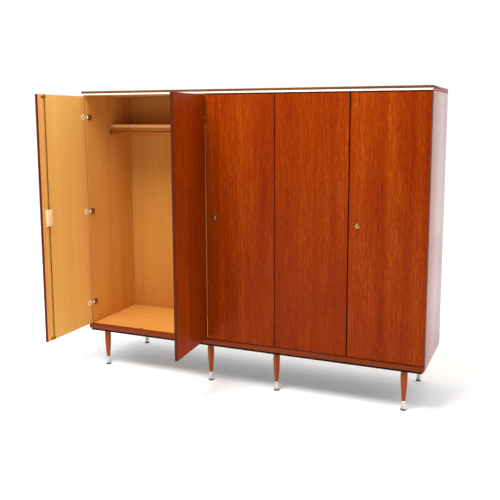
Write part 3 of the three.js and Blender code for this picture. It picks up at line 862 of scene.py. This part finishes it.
module = width / len(leaves)
for number, leaf in leaves.items():
    inward = 1 if leaf.hinge_left else -1
    line = (leaf.pivot[0] - corner[0]) / MM
    if number in (1, 5):
        upright = BOARD if number == 1 else width - BOARD
    else:
        upright = round(line / module) * module + inward * BOARD / 2
    heights = HINGE_HEIGHTS.values()
    if number == 1:
        # The discs and noses are near white, a painted shine, and the arms' dark bronze is
        # painted shade.
        for place, z in HINGE_HEIGHTS.items():
            make_piece(f"door_1_cup_{place}", cup_shape(leaf, z), plate_painted_shine,
                       "z", leaf, [f"hinge_cup_{place}"])
            make_piece(f"door_1_arm_{place}", arm_shape(upright, inward, z), bronze,
                       replaces=[f"hinge_arm_{place}"])
    else:
        make_piece(f"door_{number}_cups", together(*[cup_shape(leaf, z) for z in heights]),
                   plate_painted_shine, "z", leaf)
        make_piece(f"door_{number}_arms",
                   together(*[arm_shape(upright, inward, z) for z in heights]),
                   bronze)
    make_piece(f"door_{number}_arm_noses",
               together(*[nose_shape(upright, inward, z) for z in heights]),
               plate_painted_shine)
    hubs = [screw_head(6.0, 0.6, "y", (cup_line(leaf), leaf.high[1] + 1.1 * MM, z * MM))
            for z in heights]
    make_piece(f"door_{number}_cup_screws", together(*hubs), steel_and_painted_shadow, "z", leaf)
    print(leaf.body, "hinges on the upright at", round(upright, 1), "mm")

# %% [markdown]
# ## Locks
# Doors 1, 3 and 5 lock by two rods. An ivory case on the inner face draws one rod up and one
# down, into holes with small keeper plates in the top and in the floor. Guides near the ends
# hold each rod against the door. Outside there is a brass rose, with a knob on doors 1 and 5
# and a key slot on door 3. The slot is a black sheet, painted shade for the hole, and the dark
# ring round each rose is a painted shadow.

# %% Lock cases, rods and guides
ROD_OUT = 8.3
GUIDE_HALF = 6.5


def lock_centre(leaf):
    """The middle of a lock's rose on the outer face, with the door shut."""
    middle = sum(leaf.shut_box(f"lock_{leaf.number}_rose")) / 2
    return np.array([middle[0], leaf.low[1], middle[2]])


def case_shape(centre, face):
    """A case with soft edges and a raised cover on it."""
    def block(half_x, half_z, low, high, radius):
        return rounded_board((centre[0] - half_x * MM, face + low * MM, centre[2] - half_z * MM),
                             (centre[0] + half_x * MM, face + high * MM, centre[2] + half_z * MM),
                             radius * MM, 4)
    return together(block(24.0, 52.5, 0.3, 14.6, 2.6), block(20.0, 36.0, 13.0, 16.2, 1.4))


def guide_shape(centre, face, z):
    """A saddle over a rod: two flat ears and a round hump, carried along the rod."""
    hump = 5.2
    outline = np.concatenate([
        [(-21.0, 0.1), (-21.0, 1.5), (-hump - 1.4, 1.5), (-hump, 2.6)],
        arc((0.0, ROD_OUT), hump, 180, 0), [(hump, 2.6), (hump + 1.4, 1.5), (21.0, 1.5),
        (21.0, 0.1), (3.9, 0.1)], arc((0.0, ROD_OUT), 3.9, 0, 180), [(-3.9, 0.1)]])[::-1]
    middle = np.array([centre[0], face, 0.0])
    ears = [screw_head(3.0, 1.0, "y", middle + [s * 0.0145, 0.0014, z * MM]) for s in (-1, 1)]
    return together(plate(outline, z - GUIDE_HALF, z + GUIDE_HALF, 0.3, "z", middle), *ears)


def keeper_shape(centre, y, z, facing):
    """A thin ring plate round the hole that a rod slides into."""
    return turned([(4.7, 0), (9.0, 0), (9.0, 0.5 * facing), (8.4, 0.9 * facing),
                   (5.2, 0.9 * facing), (4.7, 0.5 * facing), (4.7, 0)], "z",
                  (centre[0], y, z), 32)


floor_top = node_box("bottom_board")[1][2] / MM
for number in (1, 3, 5):
    leaf = leaves[number]
    centre, face = lock_centre(leaf), leaf.high[1]
    make_piece(f"door_{number}_lock_case", case_shape(centre, face), ivory, "z",
               leaf, [f"lock_{number}_case"])
    screws = [screw_head(3.2, 1.1, "y", (centre[0] + s * 0.014, face + 14.4 * MM,
                                         centre[2] + s * 0.045)) for s in (-1, 1)]
    collars = [turned([(3.9, 0), (6.4, 0), (6.4, 5.2 * s), (5.6, 6 * s), (3.9, 6 * s), (3.9, 0)],
                      "z", (centre[0], face + ROD_OUT * MM, centre[2] + s * 0.0524), 24)
               for s in (-1, 1)]
    make_piece(f"door_{number}_lock_screws", together(*screws, *collars), steel_and_painted_shadow,
               "z", leaf)
    inner = 14.0
    ends = {"upper": (centre[2] / MM + inner, underside - 5.3),
            "lower": (floor_top + 5.0, centre[2] / MM - inner)}
    for part, (start, stop) in ends.items():
        tip = 1.2
        bar = [(0, start), (3.5 - tip, start), (3.5, start + tip), (3.5, stop - tip),
               (3.5 - tip, stop), (0, stop)]
        rod = f"lock_{number}_{part}_rod"
        make_piece(f"door_{number}_{part}_rod",
                   turned(bar, "z", (centre[0], face + ROD_OUT * MM, 0.0), 24), bronze,
                   "z", leaf, [rod], body=rod)
    guides = [guide_shape(centre, face, z) for z in
              (leaf.low[2] / MM + 12.5, leaf.high[2] / MM - 15.0)]
    make_piece(f"door_{number}_rod_guides", together(*guides), bronze, "z", leaf)
    y = face + ROD_OUT * MM
    keepers = [keeper_shape(centre, y, floor_top * MM, 1),
               keeper_shape(centre, y, underside * MM, -1)]
    make_piece(f"door_{number}_keeper_plates", together(*keepers), steel_and_painted_shadow)
    print(leaf.body, "lock is", round((centre[0] - corner[0]) / MM, 1), "mm from the left end")

# %% Roses, knobs and the key plug
ROSE = [(6.9, -2.4), (11.6, -2.4), (12.8, -2.1), (13.5, -1.3), (13.5, -0.3), (6.9, -0.3),
        (6.9, -2.4)]
KNOB_HEAD = [(4.9, -8.6), (5.6, -10.6), (8.6, -14.2), (10.0, -18.4), (8.9, -21.6),
             (5.6, -23.5), (0.0, -24.0)]
ROSE_PAINTED_SHADOW = [(13.2, -0.2), (16.8, -0.2), (16.8, -0.8), (16.0, -1.3), (13.2, -1.3), (13.2, -0.2)]
SPINDLE = [(0, 31.8), (4.7, 31.8), (4.7, -0.1)]
for number in (1, 3, 5):
    leaf = leaves[number]
    centre = lock_centre(leaf)
    make_piece(f"door_{number}_rose", turned(ROSE, "y", centre, 48), brass, "z",
               leaf, [f"lock_{number}_rose"])
    # A dark ring round each rose is a painted shadow where the rose meets the door.
    make_piece(f"door_{number}_rose_rim", turned(ROSE_PAINTED_SHADOW, "y", centre, 48), steel_and_painted_shadow,
               "z", leaf)
    if number == 3:
        plug = [(0, 31.8), (4.7, 31.8), (4.7, 8.0), (6.2, 6.0), (6.2, -2.6), (5.6, -3.2),
                (0, -3.2)]
        make_piece("door_3_key_plug", turned(plug, "y", centre, 40), brass, "z",
                   leaf, ["lock_3_key_plug"], body="lock_3_plug")
        # The key slot is a thin black sheet on the plug face, painted shade for the hole.
        slot = rounded_board(centre + np.array([-0.9, -3.35, -3.6]) * MM,
                             centre + np.array([0.9, -2.0, 3.6]) * MM, 0.3 * MM, 2)
        make_piece("door_3_key_slot", slot, black, "z", leaf, body="lock_3_plug")
    else:
        knob = np.vstack([SPINDLE, curve_through(KNOB_HEAD)])
        make_piece(f"door_{number}_knob", turned(knob, "y", centre, 48), brass, "z",
                   leaf, [f"lock_{number}_knob"], body=f"lock_{number}_knob")
print("roses and knobs made")

# %% [markdown]
# ## Clothes rails and small fittings
# A bronze tube crosses each wide compartment under its hat shelf and rests in a round socket
# at each end. Shelves stand on pegs. Brown plugs cover the screws that hold the floor board,
# and the back panels are screwed on from behind, with a cover strip over each joint.

# %% Clothes rails and sockets
SOCKET = [(12.9, 2.6), (12.9, 13.0), (15.2, 13.0), (15.9, 12.2), (16.1, 5.0), (17.0, 3.2),
          (17.0, 0.9), (16.6, 0.4), (0, 0.4), (0, 2.6)]
spans = {"left": (BOARD, 2 * module - BOARD / 2),
         "centre": (2 * module + BOARD / 2, 3 * module - BOARD / 2),
         "right": (3 * module + BOARD / 2, width - BOARD)}
for side in ("left", "right"):
    node = f"clothes_rail_{side}"
    low, high = node_box(node)
    middle = (low + high) / 2
    run = [(0, -1), (11.7, -1), (12.5, -0.2), (12.5, 0.2), (11.7, 1), (0, 1)]
    half = (high[0] - low[0]) / 2 / MM
    bar = [(r, d + math.copysign(half - 1.0, d)) for r, d in run]
    make_piece(f"rail_tube_{side}", turned(bar, "x", middle), copper,
               "x", replaces=[node])
    for place, x, inward, socket in (("first", spans[side][0], 1, "rail_socket_side"),
                                     ("last", spans[side][1], -1, "rail_socket_divider")):
        outline = [(r, d * inward) for r, d in SOCKET]
        make_piece(f"rail_socket_{side}_{place}",
                   turned(outline + outline[:1], "x", (spot(x, 0, 0)[0], *middle[1:])),
                   bronze, "x", replaces=[socket] if side == "left" else [])
print("rails made")

# %% Pegs, plugs, screws and strips
def peg(x, y, z, inward):
    """A shelf peg: a short pin with a round head, along x."""
    outline = [(0, 0), (4.6, 0), (4.6, 1.2), (3.0, 1.6), (3.0, 9.0), (2.4, 9.8), (0, 10)]
    return turned([(r, d * inward) for r, d in outline], "x", spot(x, y, z), 16)


shelves = {"left": ["hat_shelf_left"], "right": ["hat_shelf_right"],
           "centre": ["linen_shelf_1", "linen_shelf_2", "linen_shelf_3"]}
for side, (start, stop) in spans.items():
    pegs = []
    for node in shelves[side]:
        low, high = node_box(node)
        height = low[2] / MM - 3.1
        for y in ((low[1] - corner[1]) / MM + 40, (high[1] - corner[1]) / MM - 40):
            pegs += [peg(start, y, height, 1), peg(stop, y, height, -1)]
    make_piece(f"shelf_pegs_{side}", together(*pegs), nickel)

plugs = [turned([(0, 0), (6.0, 0), (6.0, 0.5 * s), (5.2, 1.0 * s), (0, 1.1 * s)], "x",
                spot(x, y, z), 24)
         for x, s in ((BOARD, 1), (width - BOARD, -1)) for y, z in ((96, 320), (466, 324))]
make_piece("brown_screw_plugs", together(*plugs), plug_wood)

back = (node_box("back_panel_left")[1][1] - corner[1]) / MM
strips = [rounded_board(spot(x - 20, back - 0.1, floor_top + 2),
                        spot(x + 20, back + 4, underside - 2), 1.2 * MM)
          for x in (2 * module, 3 * module)]
make_piece("back_joint_strips", together(*strips), honey)
heads = []
for x in (34, 2 * module, 3 * module, width - 34):
    lift = 3.9 if abs(x - width / 2) < module else -0.1
    heads += [screw_head(4.0, 1.6, "y", spot(x, back + lift, z))
              for z in np.linspace(floor_top + 60, underside - 60, 6)]
for x in np.linspace(150, width - 150, 9):
    heads += [screw_head(4.0, 1.6, "y", spot(x, back - 0.1, z))
              for z in (floor_top + 14, underside - 14)]
make_piece("back_panel_screws", together(*heads), steel_and_painted_shadow)

LEG_PLATE = [(17.4, 234.6), (24.0, 235.2), (25.0, 236.0), (25.0, 237.9), (17.4, 237.9),
             (17.4, 234.6)]
leg_plates = [turned(LEG_PLATE, "z", foot) for foot in feet.values()]
make_piece("leg_plates", together(*leg_plates), steel_and_painted_shadow)
print("pegs, plugs, screws and strips made")

# %% [markdown]
# ## The floor
# The wardrobe stands on a plain white floor, large enough to meet the room's white at the
# horizon.

# %% Floor and finish
floor_finish = Finish("white_floor", Specular_IOR_Level=0.1, Emission_Strength=0.17,
                      Emission_Color=WHITE)
speckle = floor_finish.noise(floor_finish.node("ShaderNodeTexCoord", output="Object"),
                             (1.0, 1.0, 1.0), 40.0)
floor_colour = floor_finish.mix(speckle, (0.93, 0.93, 0.93, 1.0), (0.95, 0.95, 0.95, 1.0))
floor_finish.surface(floor_colour, (speckle - 0.5) * 0.1 + 0.9, speckle, 0.00001)
FLOOR_REACH = 60.0
floor_mesh = bpy.data.meshes.new("studio_floor")
floor_corners = [(x * FLOOR_REACH, y * FLOOR_REACH, 0)
                 for x, y in ((-1, -1), (1, -1), (1, 1), (-1, 1))]
floor_mesh.from_pydata(floor_corners, [], [(0, 1, 2, 3)])
floor_mesh.materials.append(floor_finish.material)
studio_floor = bpy.data.objects.new("studio_floor", floor_mesh)
scene.collection.objects.link(studio_floor)
